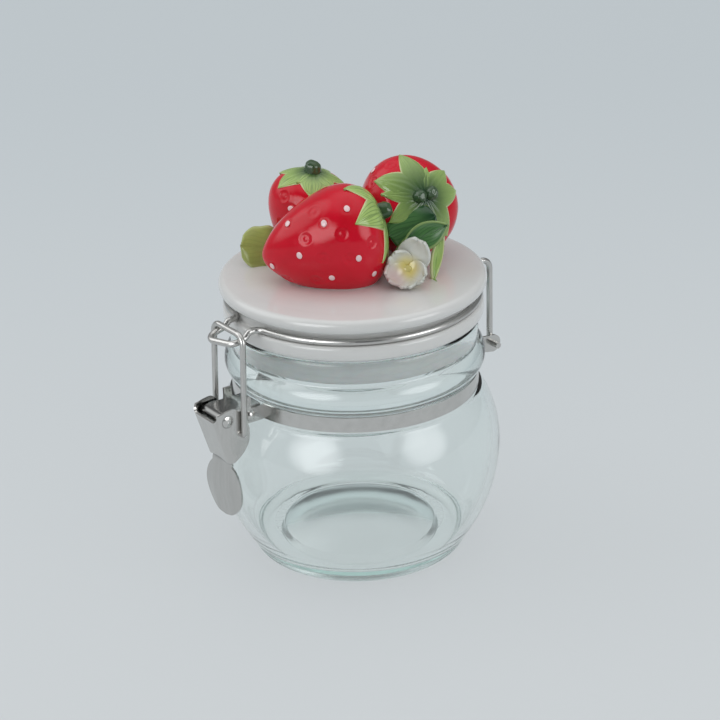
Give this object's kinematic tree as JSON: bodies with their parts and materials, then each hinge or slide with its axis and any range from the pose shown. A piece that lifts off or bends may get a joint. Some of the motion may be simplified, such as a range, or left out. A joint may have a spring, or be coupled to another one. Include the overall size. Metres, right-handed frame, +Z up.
{
  "type": "airtight glass storage jar",
  "caption": "Round glass storage jar with a ceramic clamp lid carrying glazed strawberries, a rubber seal, a wire bail hinge at the back and a lever clasp at the front.",
  "frame": {"origin": "centre of the foot ring, on the plane the jar stands on", "axes": "+Z up along the jar's axis, -Y towards the lever clasp, +Y towards the lid hinge, +X to the right when the clasp is seen from the front"},
  "size_m": [0.1096, 0.1319, 0.1504],
  "materials": {
    "clear_glass": "clear pressed glass with a faint green edge",
    "seal_rubber": "translucent grey silicone",
    "clasp_steel": "satin stainless steel sheet",
    "wire_steel": "bright drawn stainless wire",
    "white_glaze": "glossy white glaze",
    "berry_glaze": "glossy red hand-painted glaze with white seed dots",
    "leaf_glaze": "glossy green hand-painted glaze",
    "blossom_glaze": "glossy white glaze with a yellow heart"
  },
  "bodies": {
    "jar": {"glass_jar": "clear_glass", "seal_ring": "seal_rubber", "neck_band": "clasp_steel", "hinge_bracket": "clasp_steel", "pivot_bracket": "clasp_steel", "ear_rivet": "clasp_steel"},
    "lever": {"lever": "clasp_steel", "pivot_pin": "clasp_steel"},
    "link": {"link": "wire_steel"},
    "lid": {"ceramic_lid": "white_glaze", "lid_wire": "wire_steel"}
  },
  "joints": [
    {"name": "lid_hinge", "type": "hinge", "parent": "jar", "child": "lid", "pos_m": [0, 0.0603, 0.067], "axis": [-1, 0, 0], "range_deg": [0, 105]},
    {"name": "lever_hinge", "type": "hinge", "parent": "jar", "child": "lever", "pos_m": [0, -0.0628, 0.0699], "axis": [-1, 0, 0], "range_deg": [0, 110]},
    {"name": "link_hinge", "type": "hinge", "parent": "lever", "child": "link", "pos_m": [0, -0.057, 0.0633], "axis": [1, 0, 0], "range_deg": [0, 148.5]}
  ],
  "couplings": [
    {"joint": "link_hinge", "follows": "lever_hinge", "ratio": 1.35}
  ]
}
